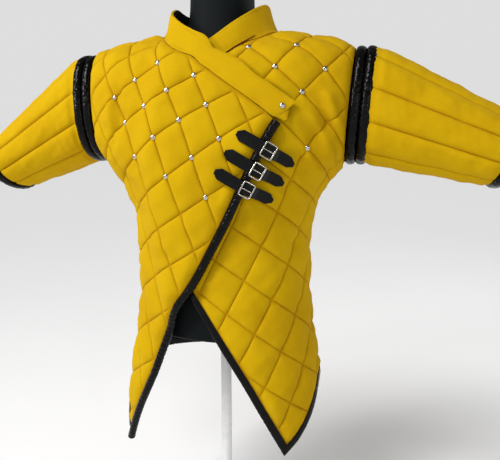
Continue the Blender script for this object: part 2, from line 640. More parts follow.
def sleeve_rings(name, count, stations):
    """Rings of points on a sleeve's inner face, from its armhole to its cuff."""
    side, cuff_x, cuff_z, half_height, half_depth, lean = SLEEVES[name]
    loop = arm_loop(side, count)
    middle = loop.mean(axis=0)
    start = in_arm_plane(side, middle + (loop - middle) * SLEEVE_TOP,
                         BAND_AT + BAND_STEP + BAND_RADIUS + SEAM_GAP)
    angle = np.linspace(0, 2 * math.pi, count, endpoint=False)
    up = -half_height * np.cos(angle)
    lean = math.radians(lean)
    end = np.stack([side * (cuff_x + up * math.sin(lean)), -half_depth * np.sin(angle),
                    cuff_z + up * math.cos(lean)], 1)
    return [start + (end - start) * t for t in stations]


def ring_normals(rings):
    """Outward directions at every point of a tube's rings."""
    rings = np.array(rings)
    round_way = np.roll(rings, -1, axis=1) - np.roll(rings, 1, axis=1)
    down_way = np.gradient(rings, axis=0)
    across = np.cross(round_way, down_way)
    across /= np.linalg.norm(across, axis=2, keepdims=True)
    outward = np.sum(across * (rings - rings.mean(axis=1, keepdims=True)), axis=(1, 2))
    return across * np.sign(outward)[:, None, None]


def surface_frame(spot, direction, offset):
    """Centre, forward, sideways and outward directions on the fronts at a flat point."""
    spot, direction = np.array(spot), np.array(direction)
    centre, ahead = (FRONT.place(*(spot + direction * step)[:, None], np.array([offset]))[0]
                     for step in (0.0, 0.002))
    ahead -= centre
    ahead /= np.linalg.norm(ahead)
    outward = TRUNK.normal(*FRONT.to_trunk(spot[:1], spot[1:]))[0]
    outward -= ahead * (outward @ ahead)
    outward /= np.linalg.norm(outward)
    return centre, ahead, np.cross(outward, ahead), outward


def snap_to_seam(pattern, flat, rim, near_seam=0.035):
    """Turn and row of flat points, with rim points near a side or shoulder seam set on it."""
    turn, row = pattern.to_trunk(flat[:, 0], flat[:, 1])
    local = (pattern.world_turn(turn) + math.pi) % (2 * math.pi) - math.pi
    limit = math.pi / 2 - SEAM_TURN
    near = rim & (np.abs(np.abs(local) - limit) < near_seam)
    local = np.where(near, np.sign(local) * limit, np.clip(local, -limit, limit))
    return pattern.world_turn(local), row


# Materials


def new_material(name, **inputs):
    """A node material, a function that adds nodes to it and one that links them to its shader."""
    material = bpy.data.materials.new(name)
    material.use_nodes = True
    tree = material.node_tree
    shader = tree.nodes["Principled BSDF"]

    def add(kind, links=(), **settings):
        node = tree.nodes.new("ShaderNode" + kind)
        for key, value in settings.items():
            socket = key.replace("_", " ")
            if socket in node.inputs:
                node.inputs[socket].default_value = value
            else:
                setattr(node, key, value)
        for socket, source in links:
            tree.links.new(source, node.inputs[socket])
        return node

    def link(source, socket):
        tree.links.new(source, shader.inputs[socket])
    for key, value in inputs.items():
        shader.inputs[key.replace("_", " ")].default_value = value
    return material, add, link


def noise(add, place, scale, detail, **settings):
    return add("TexNoise", [("Vector", place)], Scale=scale, Detail=detail, **settings).outputs["Fac"]


def bump(add, height, strength, distance, below=None):
    """A normal raised by a height, on top of the normal below where there is one."""
    links = [("Height", height)] + ([] if below is None else [("Normal", below)])
    return add("Bump", links, Strength=strength, Distance=distance).outputs[0]


def ramp(add, source, *stops):
    """Colours that a value runs through, from two (position, colour) pairs."""
    node = add("ValToRGB", [("Fac", source)])
    for element, (position, colour) in zip(node.color_ramp.elements, stops):
        element.position, element.color = position, (*colour, 1)
    return node.outputs["Color"]


def multiplied(add, a, b):
    """The product of two colours, from the colour sockets of a mix node."""
    node = add("Mix", [(6, a), (7, b)], data_type="RGBA", blend_type="MULTIPLY")
    node.inputs[0].default_value = 1.0
    return node.outputs[2]


def mottle(add, link, spots, roughness, *stops):
    """Gloss and colour that both follow the same spots."""
    rough = add("MapRange", [("Value", spots)], From_Min=0.3, From_Max=0.7, To_Min=roughness[0],
                To_Max=roughness[1])
    link(rough.outputs[0], "Roughness")
    link(ramp(add, spots, *stops), "Base Color")


def woven(name, light, dark, roughness, sheen, seam_shade):
    """Plain-woven cotton: yarns from the UV map in metres, soft puckers and a darker line in its seams."""
    material, add, link = new_material(name, Roughness=roughness, Sheen_Weight=sheen, Sheen_Roughness=0.5,
                                       Specular_IOR_Level=0.05)
    uv = add("UVMap", uv_map="cut").outputs["UV"]
    place = add("TexCoord").outputs["Object"]
    warp, weft = (add("TexWave", [("Vector", uv)], bands_direction=way, Scale=WEAVE_SCALE, Distortion=0.6)
                  for way in "XY")
    yarns = add("Math", [(0, warp.outputs["Fac"]), (1, weft.outputs["Fac"])], operation="MAXIMUM").outputs[0]
    low = bump(add, noise(add, place, 62.0, 4.0, Roughness=0.55), 0.35, 0.0016)
    fine = bump(add, yarns, 0.28, 0.0003, low)
    link(bump(add, noise(add, place, 1400.0, 3.0), 0.20, 0.0003, fine), "Normal")
    tone = ramp(add, noise(add, place, 9.0, 3.0), (0.35, dark), (0.65, light))
    pad = add("Attribute", attribute_name="pad").outputs["Fac"]
    seam = ramp(add, pad, (0.02, (seam_shade, seam_shade * 0.88, seam_shade * 0.7)), (0.34, (1, 1, 1)))
    thread = ramp(add, yarns, (0.2, (0.90, 0.90, 0.90)), (0.9, (1.03, 1.03, 1.03)))
    link(multiplied(add, multiplied(add, tone, seam), thread), "Base Color")
    return material


def leather(name, colour, roughness, crinkle, grain, specular):
    """Black leather: crinkled where it is padded, with a fine grain and worn, paler high spots."""
    material, add, link = new_material(name, Specular_IOR_Level=specular)
    place = add("TexCoord").outputs["Object"]
    warped = add("TexNoise", [("Vector", place)], Scale=70.0, Detail=1.0)
    moved = add("VectorMath", [(0, warped.outputs["Color"]), (2, place)], operation="MULTIPLY_ADD")
    moved.inputs[1].default_value = (0.03, 0.03, 0.03)
    creases = noise(add, moved.outputs[0], 75.0, 1.5, Roughness=0.4)
    low = bump(add, creases, crinkle, 0.0030)
    link(bump(add, noise(add, place, 1500.0, 1.0), grain, 0.0002, low), "Normal")
    mottle(add, link, creases, (roughness - 0.04, roughness + 0.06), (0.45, colour),
           (0.8, [c * 2.4 for c in colour]))
    return material


def hard(name, colour, roughness, metallic, strength, scale, coat=0.0, specular=0.5):
    """Metal, moulded shell or enamel, with faint unevenness in its gloss and surface."""
    material, add, link = new_material(name, Metallic=metallic, Coat_Weight=coat, Specular_IOR_Level=specular)
    spots = noise(add, add("TexCoord").outputs["Object"], scale, 4.0)
    link(bump(add, spots, strength, 0.0005), "Normal")
    mottle(add, link, spots, (roughness - 0.05, roughness + 0.07), (0.3, [c * 0.9 for c in colour]),
           (0.7, colour))
    return material


CANVAS = woven("canvas", (0.568, 0.354, 0.0025), (0.524, 0.308, 0.002), 0.92, 0.01, 0.80)
LINING_CLOTH = woven("lining_cotton", (0.010, 0.008, 0.007), (0.006, 0.005, 0.005), 0.90, 0.02, 0.8)
SLIT_CLOTH = hard("seam_inside", (0.110, 0.020, 0.006), 0.80, 0.0, 0.2, 700.0, specular=0.1)
THREAD = hard("thread", (0.500, 0.285, 0.004), 0.80, 0.0, 0.2, 900.0, specular=0.1)
PADDED_LEATHER = leather("padded_leather", (0.0014, 0.0011, 0.0010), 0.19, 0.13, 0.01, 0.13)
STRAP_LEATHER = leather("strap_leather", (0.0012, 0.0015, 0.0017), 0.27, 0.05, 0.08, 0.17)
NICKEL = hard("nickel", (0.54, 0.51, 0.45), 0.13, 1.0, 0.05, 300.0)
SHELL = hard("form_shell", (0.0030, 0.0048, 0.0054), 0.62, 0.0, 0.12, 500.0, specular=0.10)
ENAMEL = hard("enamel", (0.82, 0.82, 0.81), 0.32, 0.0, 0.03, 60.0, coat=0.3)


# Meshes


def ripple(points, size, seed, waves=22):
    """Smooth unevenness of about unit height and the given wavelength, for flat or solid points."""
    rng = np.random.default_rng(seed)
    directions = rng.normal(size=(waves, points.shape[1])) * (2 * math.pi / size / 1.6)
    phases = rng.uniform(0, 2 * math.pi, waves)
    return np.sin(points @ directions.T + phases).sum(axis=1) * math.sqrt(2 / waves)


def add_piece(name, points, faces, materials, slot, nodes, uv=None, pad=None, second=None, sharp=65):
    """A smooth mesh that rides on the root and stands for its nodes."""
    mesh = bpy.data.meshes.new(name)
    mesh.from_pydata(np.asarray(points).tolist(), [], faces)
    for material in materials:
        mesh.materials.append(material)
    if second is not None:
        mesh.polygons.foreach_set("material_index", second)
    if uv is not None:
        loops = np.empty(len(mesh.loops), dtype=np.int32)
        mesh.loops.foreach_get("vertex_index", loops)
        mesh.uv_layers.new(name="cut").data.foreach_set("uv", np.asarray(uv, float)[loops].ravel())
    if pad is not None:
        mesh.attributes.new("pad", "FLOAT", "POINT").data.foreach_set("value", np.asarray(pad, float))
    mesh.shade_smooth()
    mesh.set_sharp_from_angle(angle=math.radians(sharp))
    piece = bpy.data.objects.new(name, mesh)
    bpy.context.scene.collection.objects.link(piece)
    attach(piece, "root")
    if nodes:
        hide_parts(*nodes)
    return piece


def grid_faces(rows, columns, close_rows):
    """Quads between the points of a grid stored row by row, whose rows are rings."""
    r, c = np.meshgrid(np.arange(rows if close_rows else rows - 1), np.arange(columns), indexing="ij")
    r2, c2 = (r + 1) % rows, (c + 1) % columns
    corners = [r * columns + c, r * columns + c2, r2 * columns + c2, r2 * columns + c]
    return np.stack(corners, -1).reshape(-1, 4)


def outward(points, faces):
    """The faces, all turned over if the closed mesh they make is inside out."""
    a, b, c, d = (points[faces[:, k]] for k in range(4))
    volume = np.sum(a * np.cross(b, c)) + np.sum(a * np.cross(c, d))
    return faces if volume > 0 else faces[:, ::-1]


def add_loft(name, rings, materials, slot, nodes, closed=False, second=None, **looks):
    """A closed mesh through equal rings of points, with flat caps unless it closes on itself."""
    rings = np.asarray(rings)
    rows, columns = rings.shape[:2]
    points = rings.reshape(-1, 3)
    faces = outward(points, grid_faces(rows, columns, closed))
    forwards = faces[0][1] == 1
    faces = faces.tolist()
    if not closed:
        first, last = list(range(columns)), list(range((rows - 1) * columns, rows * columns))
        faces += [first[::-1], last] if forwards else [first, last[::-1]]
    if second is not None:
        second = np.concatenate([second, np.zeros(len(faces) - len(second))]).astype(np.int32)
    return add_piece(name, points, faces, materials, slot, nodes, second=second, **looks)


def add_leather(node, rings, closed=False, material=PADDED_LEATHER):
    """A leather piece, named after the node that it stands for."""
    return add_loft(node + "_leather", rings, [material], "black_leather", [node], closed, sharp=50)


def add_metal(node, rings, closed=False):
    """A metal piece, named after the node that it stands for."""
    return add_loft(node + "_metal", rings, [NICKEL], "steel", [node], closed)


def add_wall(node, points, faces, edges, flat, materials, slot, pad, second=None):
    """A cloth wall, from the points of its outer face and then as many of its inner one."""
    count = len(flat)
    a, b, c = points[faces[0][:3]]
    if np.cross(b - a, c - a) @ (a - points[faces[0][0] + count]) < 0:
        faces = [face[::-1] for face in faces]
        edges = [(end, start) for start, end in edges]
    inner = [[k + count for k in face[::-1]] for face in faces]
    rims = [[end, start, start + count, end + count] for start, end in edges]
    return add_piece(node + "_cloth", points, faces + inner + rims, materials, slot, [node],
                     uv=np.concatenate([flat, flat]), pad=pad, second=second)


def cut_fine(outline, quilting, shares):
    """A panel cut fine along its quilting, in the squashed plane: points, rim flags, faces, rim edges."""
    panel = bmesh.new()
    panel.faces.new([panel.verts.new((x, y, 0)) for x, y in outline])
    for axis in quilting.axes:
        reach = (outline - quilting.origin) @ axis / quilting.pitch
        ahead = panel.verts[:] + panel.edges[:] + panel.faces[:]
        for cell in range(math.floor(reach.min()), math.ceil(reach.max()) + 1):
            for share in shares:
                distance = (cell + share) * quilting.pitch
                if not reach.min() * quilting.pitch < distance < reach.max() * quilting.pitch:
                    continue
                spot = quilting.origin + distance * axis
                cut = bmesh.ops.bisect_plane(panel, geom=ahead, dist=1e-7, plane_co=(*spot, 0),
                                             plane_no=(*axis, 0))
                level = quilting.origin @ axis + distance
                rest = [face for face in cut["geom"] if isinstance(face, bmesh.types.BMFace)
                        and np.mean([vert.co[:2] for vert in face.verts], axis=0) @ axis > level]
                edges = dict.fromkeys(edge for face in rest for edge in face.edges)
                verts = dict.fromkeys(vert for face in rest for vert in face.verts)
                ahead = list(verts) + list(edges) + rest
    bmesh.ops.remove_doubles(panel, verts=panel.verts[:], dist=0.0005)
    bmesh.ops.triangulate(panel, faces=[face for face in panel.faces if len(face.verts) > 4])
    panel.verts.index_update()
    points = np.array([vert.co[:2] for vert in panel.verts])
    rim = np.array([vert.is_boundary for vert in panel.verts])
    faces = [[vert.index for vert in face.verts] for face in panel.faces]
    loops = [edge.link_loops[0] for edge in panel.edges if edge.is_boundary]
    edges = [(loop.vert.index, loop.link_loop_next.vert.index) for loop in loops]
    panel.free()
    return points, rim, faces, edges


def inside(points, outline):
    """True for flat points inside an outline."""
    result = np.zeros(len(points), bool)
    for a, b in zip(outline, np.roll(outline, -1, axis=0)):
        crosses = (a[1] > points[:, 1]) != (b[1] > points[:, 1])
        with np.errstate(divide="ignore", invalid="ignore"):
            at = a[0] + (points[:, 1] - a[1]) / (b[1] - a[1]) * (b[0] - a[0])
        result ^= crosses & (points[:, 0] < at)
    return result


def outline_area(outline):
    """Area inside a flat outline."""
    x, y = outline.T
    return abs(np.sum(x * np.roll(y, -1) - y * np.roll(x, -1))) / 2


class Panel:
    """One quilted panel: its flat cut, and how far its faces stand off the trunk."""

    def __init__(self, name, pattern, outline, quilting, lift, cover, seed):
        self.name, self.pattern, self.outline, self.quilting = name, pattern, outline, quilting
        self.lift, self.cover, self.seed = lift, cover, seed
        self.rim = quilting.squash(outline)

    def heights(self, flat):
        """Inner and outer offsets and the padding's share of its full height, at flat points."""
        squashed = self.quilting.squash(flat)
        fade = smoothstep(outline_distance(squashed, self.rim) / RIM_FADE)
        low = self.lift(flat) + fade * fold_rise(self.name, flat)
        pad, groove = 1.0, 0.0
        for axis in self.quilting.axes:
            share = ((squashed - self.quilting.origin) @ axis / self.quilting.pitch) % 1.0
            pad = pad * (4 * share * (1 - share)) ** PAD_POWER
            away = np.minimum(share, 1 - share) * self.quilting.pitch
            groove = np.maximum(groove, np.exp(-(away / GROOVE_WIDTH) ** 2))
        cover = self.cover(flat)
        slack = sum(ripple(flat, size, self.seed + k) * height for k, (size, height) in enumerate(SLACK))
        high = low + WALL + fade * (PUFF * pad * cover + slack - GROOVE * groove * cover)
        return low, high, pad * fade * cover + (1 - cover)

    def place(self, flat, offset, rim=False):
        turn, row = snap_to_seam(self.pattern, flat, rim, 0.02)
        return TRUNK.out(turn, row, offset)

    def build(self, trims):
        squashed, rim, faces, edges = cut_fine(self.rim, self.quilting, CELL_SHARES)
        flat = self.quilting.unsquash(squashed)
        low, high, pad = self.heights(flat)
        points = np.concatenate([self.place(flat, high, rim), self.place(flat, low, rim)])
        second = np.repeat(np.array([0, 1, 0], np.int32), [len(faces), len(faces), len(edges)])
        piece = add_wall(self.name, points, faces, edges, flat, [CANVAS, LINING_CLOTH], "yellow_canvas",
                         np.concatenate([pad, np.ones(len(pad))]), second)
        sewing = self.sew()
        size = np.ptp(self.outline, axis=0)
        float(outline_area(self.outline))
        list(trims)
        return piece

    def sew(self):
        """A row of stitches along every seam of the quilting that shows."""
        starts, ends = [], []
        for axis, other in (self.quilting.axes, self.quilting.axes[::-1]):
            reach = (self.rim - self.quilting.origin) @ axis / self.quilting.pitch
            run = (self.rim - self.quilting.origin) @ other
            steps = np.arange(run.min(), run.max(), STITCH_STEP)
            for cell in range(math.ceil(reach.min()), math.floor(reach.max()) + 1):
                spots = self.quilting.origin + cell * self.quilting.pitch * axis + steps[:, None] * other
                spots = spots[inside(spots, self.rim)]
                spots = spots[outline_distance(spots, self.rim) > 0.005]
                starts.append(spots - other * STITCH_LENGTH / 2)
                ends.append(spots + other * STITCH_LENGTH / 2)
        starts, ends = (self.quilting.unsquash(np.concatenate(part)) for part in (starts, ends))
        shown = self.cover((starts + ends) / 2) > 0.6
        starts, ends = starts[shown], ends[shown]
        sides = [self.place(flat, self.heights(flat)[1]) for flat in (starts, ends)]
        turn, row = self.pattern.to_trunk(*((starts + ends) / 2).T)
        return add_stitches(self.name + "_stitches", *sides, TRUNK.normal(turn, row))


def add_stitches(name, starts, ends, normals):
    """Small spindles of thread from start to end, half sunk in the cloth."""
    across = np.cross(normals, ends - starts)
    across /= np.linalg.norm(across, axis=1, keepdims=True)
    middle = (starts + ends) / 2 + normals * STITCH_RADIUS * 0.5
    ring = [middle + across * STITCH_RADIUS, middle + normals * STITCH_RADIUS * 0.9,
            middle - across * STITCH_RADIUS, middle - normals * STITCH_RADIUS]
    points = np.stack([starts - normals * STITCH_SINK, ends - normals * STITCH_SINK, *ring], axis=1)
    spindle = np.array([(0, 3, 2), (0, 4, 3), (0, 5, 4), (0, 2, 5),
                        (1, 2, 3), (1, 3, 4), (1, 4, 5), (1, 5, 2)])
    faces = (spindle + 6 * np.arange(len(points))[:, None, None]).reshape(-1, 3)
    return add_piece(name, points.reshape(-1, 3), faces.tolist(), [THREAD], "yellow_canvas", [], sharp=89)


def finer(line, step):
    """A line with points added on its straight runs, none further apart than the step."""
    line = np.asarray(line, float)
    points = [line[:1]]
    for a, b in zip(line, line[1:]):
        count = max(1, math.ceil(np.linalg.norm(b - a) / step))
        points.append(a + (b - a) * (np.arange(1, count + 1) / count)[:, None])
    return np.concatenate(points)


def finer_pair(a, b, step):
    both = finer(np.concatenate([a, b], axis=1), step * 1.4)
    return both[:, :2], both[:, 2:]


def strip_rings(lines, section, place):
    """Rings of a strip between two lines, with a section of (share across, offset) pairs."""
    share, offset = np.array(section).T
    return np.array([place(a + (b - a) * share[:, None], offset, station)
                     for station, (a, b) in enumerate(zip(*lines))])


def rounded(low, high):
    """Section of a strip whose far edge is round and whose near edge is blunt."""
    middle, half = (low + high) / 2, (high - low) / 2
    shares = np.sin(np.linspace(0, math.pi / 2, 7))
    top = [(share, middle + half * (1 - share ** 6) ** 0.5) for share in shares]
    bottom = [(share, middle - half * (1 - share ** 6) ** 0.5) for share in shares[::-1][1:]]
    return top + bottom


def flat_place(pattern, lift=None):
    """Places flat points, with the lift of the over front where it is given."""
    def place(flat, offset, _):
        turn, row = snap_to_seam(pattern, flat, True, 0.015)
        base = lift(flat[:, 0], flat[:, 1]) if lift else 0.0
        return TRUNK.out(turn, row, base + offset)
    return place


def crinkled(rings, closed, amount, size, seed):
    """Rings of a tube or strip with the slanting creases of a padded leather edge."""
    centre = rings.mean(axis=1, keepdims=True)
    spoke = rings - centre
    length = np.linalg.norm(spoke, axis=2, keepdims=True)
    step = np.linalg.norm(np.diff(centre[:, 0], axis=0), axis=1)
    run = np.concatenate([[0], np.cumsum(step)])
    whole = run[-1] + (step.mean() if closed else 0)
    count = max(2, round(whole / size))
    around = np.linspace(0, 2 * math.pi, rings.shape[1], endpoint=False)[None, :]
    points = rings.reshape(-1, 3)
    drift = ripple(points, size * 2.6, seed).reshape(rings.shape[:2])
    strength = 0.55 + 0.45 * ripple(points, size * 2.2, seed + 1).reshape(rings.shape[:2])
    ridge = np.abs(np.sin(math.pi * count * run[:, None] / whole + 1.0 * np.sin(around + seed) + 0.9 * drift))
    fine = np.abs(ripple(points, size * 0.55, seed + 2)).reshape(rings.shape[:2])
    move = amount * (1.3 * np.clip(strength, 0, 1.3) * (ridge ** 0.6 - 0.8) - 0.30 * (fine - 0.4))
    if not closed:
        move[[0, -1]] = 0
    return rings + spoke / length * move[..., None]


def tube_rings(path, radius, sides, closed):
    """Rings of points round a path, which turn no more than they must."""
    path = np.asarray(path)
    if closed:
        ahead = np.roll(path, -1, axis=0) - np.roll(path, 1, axis=0)
    else:
        ahead = np.gradient(path, axis=0)
    ahead /= np.linalg.norm(ahead, axis=1, keepdims=True)
    side = np.cross(ahead[0], (0, 0, 1.0) if abs(ahead[0][2]) < 0.9 else (1.0, 0, 0))
    angle = np.linspace(0, 2 * math.pi, sides, endpoint=False)
    rings = []
    for point, direction in zip(path, ahead):
        side = side - direction * (side @ direction)
        side /= np.linalg.norm(side)
        other = np.cross(direction, side)
        rings.append(point + radius * (np.cos(angle)[:, None] * side + np.sin(angle)[:, None] * other))
    return np.array(rings)


def smooth_loop(points, count):
    """Evenly spaced points on a smooth closed curve through the given ones."""
    fine = along(np.concatenate([points[-3:], points, points[:4]]), 4000)
    start = np.argmin(np.linalg.norm(fine[:800] - points[0], axis=1))
    end = 3200 + np.argmin(np.linalg.norm(fine[3200:] - points[0], axis=1))
    return even_loop(fine[start:end + 1], count)


# Pieces


def over_base(flat):
    return over_lift(flat[:, 0], flat[:, 1])


def no_base(flat):
    return np.zeros(len(flat))


def under_cover(flat):
    """The under front's padding goes on until just under the edge that hides it."""
    return covered(flat[:, 0] + 0.014, flat[:, 1])


def full_cover(flat):
    return np.ones(len(flat))


def make_trims():
    """The piping and the bindings of the three panels, as a name: piece table."""
    *_, piping, over_path, under_path = front_outlines()
    half = BINDING_WIDTH / 2
    over_hem = over_path[len(piping) - 1:]
    over_hem = np.concatenate([[over_hem[0] + (over_hem[1] - over_hem[0]) * 0.60], over_hem[1:]])
    row = float(BACK.to_trunk(HEM_SIDE, BACK_HEM_HEIGHT)[1])
    reach = abs(float(BACK.from_trunk(math.pi / 2, row)[0]))
    back_hem = np.stack([np.linspace(-reach, reach, 26), np.full(26, BACK_HEM_HEIGHT)], 1)
    jobs = {
        "binding_under": (mitred(under_path, -half - TUCK), mitred(under_path, half), FRONT, None),
        "binding_over_hem": (mitred(over_hem, PIPE_RADIUS + TUCK),
                             mitred(over_hem, PIPE_RADIUS - BINDING_WIDTH), FRONT, over_lift),
        "binding_back": (back_hem + (0, half + TUCK), back_hem - (0, half), BACK, None),
    }
    made = {}
    for seed, (name, (a, b, pattern, lift)) in enumerate(jobs.items(), 40):
        rings = strip_rings(finer_pair(a, b, 0.0022), rounded(*BINDING_FACES), flat_place(pattern, lift))
        made[name] = add_leather(name, crinkled(rings, False, *BINDING_CREASE, seed))
    fine = along(PIPING_LINE, 420)
    path = FRONT.place(fine[:, 0], fine[:, 1], over_lift(fine[:, 0], fine[:, 1]) + PIPE_RISE)
    rings = crinkled(tube_rings(path, PIPE_RADIUS, 24, False), False, *PIPE_CREASE, 50)
    made["edge_piping"] = add_leather("edge_piping", rings)
    return made


def make_panels(trims, straps):
    """Both fronts and the back, as a name: piece table."""
    over, under, *_ = front_outlines()
    panels = [
        (Panel("front_over", FRONT, over, OVER_QUILT, over_base, full_cover, 11),
         [trims["binding_over_hem"], *straps]),
        (Panel("front_under", FRONT, under, UNDER_QUILT, no_base, under_cover, 21), [trims["binding_under"]]),
        (Panel("back", BACK, back_outline(), BACK_QUILT, no_base, full_cover, 31), [trims["binding_back"]]),
    ]
    return {panel.name: panel.build(trim) for panel, trim in panels}


def make_linings():
    """Thin black lining inside the skirt, a little loose between its edges."""
    over, under, *_ = front_outlines(LINING_SPARE)
    jobs = [("lining_over", FRONT, over, OVER_QUILT, over_base),
            ("lining_under", FRONT, under, UNDER_QUILT, no_base),
            ("lining_back", BACK, back_outline(LINING_SPARE), BACK_QUILT, no_base)]
    for seed, (name, pattern, outline, quilting, lift) in enumerate(jobs, 60):
        low = outline[outline[:, 1] < LINING_TOP]
        last = int(np.argmax(np.linalg.norm(np.diff(low, axis=0, append=low[:1]), axis=1)))
        low = np.roll(low, -last - 1, axis=0)
        rim = quilting.squash(low)
        squashed, at_rim, faces, edges = cut_fine(rim, quilting, np.arange(10) / 10)
        flat = quilting.unsquash(squashed)
        fade = smoothstep(outline_distance(squashed, rim) / RIM_FADE)
        loose = np.maximum(fade, smoothstep((flat[:, 1] - LINING_TOP + 0.06) / 0.04))
        sag = ripple(flat * (1.0, 0.35), 0.035, seed) * 0.0016 * fade
        high = lift(flat) - 0.0010 - LINING_DROP * loose + sag
        turn, row = snap_to_seam(pattern, flat, at_rim)
        points = np.concatenate([TRUNK.out(turn, row, high), TRUNK.out(turn, row, high - LINING)])
        piece = add_wall(name, points, faces, edges, flat, [LINING_CLOTH], "black_lining",
                         np.ones(len(points)))
        size = np.ptp(low, axis=0)
        float(max(outline_area(low), 0.301 * size[0] * size[1]))


def collar_place(lift):
    def place(lines, offset, _):
        turn, row = lines[:, 0], lines[:, 1]
        base = 0.0
        if lift:
            x, y = FRONT.from_trunk(turn, row)
            base = np.where(np.abs(turn) < 1.4, lift(x, y), 0.0)
        return TRUNK.out(turn, row, base + offset)
    return place


def make_collars():
    """Both halves of the collar, as a name: piece table."""
    made = {}
    shares = np.array([0, 0.02, 0.06, 0.10, 0.14, 0.25, 0.4, 0.55, 0.7, 0.86, 0.9, 0.94, 0.98, 1])
    high = np.array([3.6, 4.4, 4.9, 4.6, 5.2, 5.6, 5.7, 5.7, 5.5, 5.1, 4.6, 4.9, 4.4, 3.6]) / 1000
    section = [*zip(shares, high), *zip(shares[::-1], np.zeros(len(shares)))]
    count = len(shares)
    for name, side, seam, top, lift, seed in (("collar_over", -1, OVER_SEAM, OVER_TOP, over_lift, 70),
                                              ("collar_under", 1, UNDER_SEAM, UNDER_TOP, None, 75)):
        lines = collar_lines(side, seam, top, COLLAR_RINGS)
        place = collar_place(lift)
        rings = strip_rings(lines, section, place)
        wave = ripple(rings.reshape(-1, 3), 0.045, seed).reshape(rings.shape[:2])[..., None] * 0.0005
        away = rings - rings[:, ::-1]
        away /= np.maximum(np.linalg.norm(away, axis=2, keepdims=True), 1e-9)
        rings[:, 1:count - 1] += (away * wave)[:, 1:count - 1]
        run = run_lengths(rings[:, 4])
        width = float(np.linalg.norm(rings[:, count - 1] - rings[:, 0], axis=1).mean())
        across = np.concatenate([shares, shares[::-1]]) * width
        uv = np.stack([np.repeat(run, 2 * count), np.tile(across, len(run))], 1)
        piece = add_loft(name + "_cloth", rings, [CANVAS, LINING_CLOTH], "yellow_canvas", [name], uv=uv,
                         pad=np.ones(len(uv)), second=np.tile(np.arange(2 * count) >= count, len(run) - 1))
        height, *runs = COLLAR_SEWING
        sewing = sew_lines(name + "_stitches", [strip_line(lines, share, height, place) for share in runs])
        [sewing, make_slit()] if side > 0 else [sewing]
        made[name] = piece
    return made


def make_slit():
    """The open run of the under collar's seam, where its brown inside shows."""
    lines = finer_pair(SLIT, SLIT + SLIT_WIDTH, 0.003)
    swell = np.sin(np.linspace(0.12, math.pi - 0.12, len(lines[0])))[:, None]
    lines = lines[0], lines[0] + (lines[1] - lines[0]) * swell
    section = [(0, 0.0030), (0, 0.0056), (0.5, 0.0060), (1, 0.0056), (1, 0.0030), (0.5, 0.0028)]
    return add_loft("collar_slit", strip_rings(lines, section, flat_place(FRONT)), [SLIT_CLOTH],
                    "yellow_canvas", [])


def strip_line(lines, share, offset, place):
    """Points and outward directions along a strip, at a share of its width."""
    a, b = lines
    flat = a + (b - a) * share
    low, high = place(flat, offset - 0.0005, 0), place(flat, offset, 0)
    away = high - low
    return high, away / np.linalg.norm(away, axis=1, keepdims=True)


def sew_lines(name, rows):
    """Stitches at an even step along several rows of points."""
    starts, ends, normals = [], [], []
    for points, away in rows:
        length = run_lengths(points)
        spots = np.arange(STITCH_STEP, length[-1] - STITCH_STEP, STITCH_STEP)
        starts.append(read_at(spots - STITCH_LENGTH / 2, length, points))
        ends.append(read_at(spots + STITCH_LENGTH / 2, length, points))
        normals.append(read_at(spots, length, away))
    return add_stitches(name, *(np.concatenate(part) for part in (starts, ends, normals)))


def make_tab():
    """The small tab at the collar's end."""
    a, b, c, d = np.array(TAB)
    rows = 12
    steps = np.linspace(0, 1, rows)[:, None]
    lines = a + (d - a) * steps, b + (c - b) * steps
    section = [(0, 0.0002), (0.0, 0.0032), (0.04, 0.0040), (0.5, 0.0043), (0.96, 0.0040), (1, 0.0032),
               (1, 0.0002), (0.5, 0.0)]
    rings = strip_rings(lines, section, flat_place(FRONT, over_lift))
    uv = np.stack([np.repeat(np.linspace(0, 0.018, rows), len(section)),
                   np.tile([share * 0.02 for share, _ in section], rows)], 1)
    piece = add_loft("front_tab_cloth", rings, [CANVAS], "yellow_canvas", ["front_tab"], uv=uv,
                     pad=np.ones(len(uv)))


def girth(ring):
    """Length round a closed ring of points."""
    return float(np.linalg.norm(np.roll(ring, -1, axis=0) - ring, axis=1).sum())


def make_sleeves():
    """Both sleeves in channels, with their stitches and bound cuffs."""
    for seed, name in enumerate(SLEEVES, 80):
        side = SLEEVES[name][0]
        per_channel, rows = 16, 97
        count = SLEEVE_CHANNELS * per_channel
        stations = np.concatenate([[-0.016], np.linspace(0, 1, rows - 1)])
        inner = np.array(sleeve_rings(name, count, stations))
        normals = ring_normals(inner)
        axis = np.array((1, 0, -side * ARM_LEAN)) / math.hypot(1, ARM_LEAN)
        normals[0] -= np.outer(normals[0] @ axis, axis)
        share = (np.arange(count) % per_channel) / per_channel
        pad = (4 * share * (1 - share)) ** SLEEVE_PAD_POWER
        ends = 0.35 + 0.65 * smoothstep(np.minimum(stations, 1 - stations) / 0.06)
        high = sleeve_height(share, pad, stations, ends, seed)
        outer = inner + normals * np.maximum(high, 0.0025)[..., None]
        run = np.linalg.norm(inner[-1].mean(axis=0) - inner[0].mean(axis=0))
        top, cuff = girth(inner[0]), girth(inner[-1])
        u = np.repeat(np.concatenate([stations, stations[::-1]]) * run, count)
        v = np.tile(np.arange(count) / count * (top + cuff) / 2, 2 * rows)
        shade = np.concatenate([np.tile(pad, rows), np.ones(rows * count)])
        second = np.repeat(np.arange(2 * rows) >= rows, count)
        piece = add_loft("sleeve_" + name + "_cloth", np.concatenate([outer, inner[::-1]]),
                         [CANVAS, LINING_CLOTH], "yellow_canvas", ["sleeve_" + name], closed=True,
                         uv=np.stack([u, v], 1), pad=shade, second=second)
        seams = [(outer[2:-2, k], normals[2:-2, k]) for k in range(0, count, per_channel)]
        sewing = sew_lines("sleeve_" + name + "_stitches", seams)
        binding = add_leather("cuff_binding_" + name, cuff_rings(name, seed + 30), closed=True)


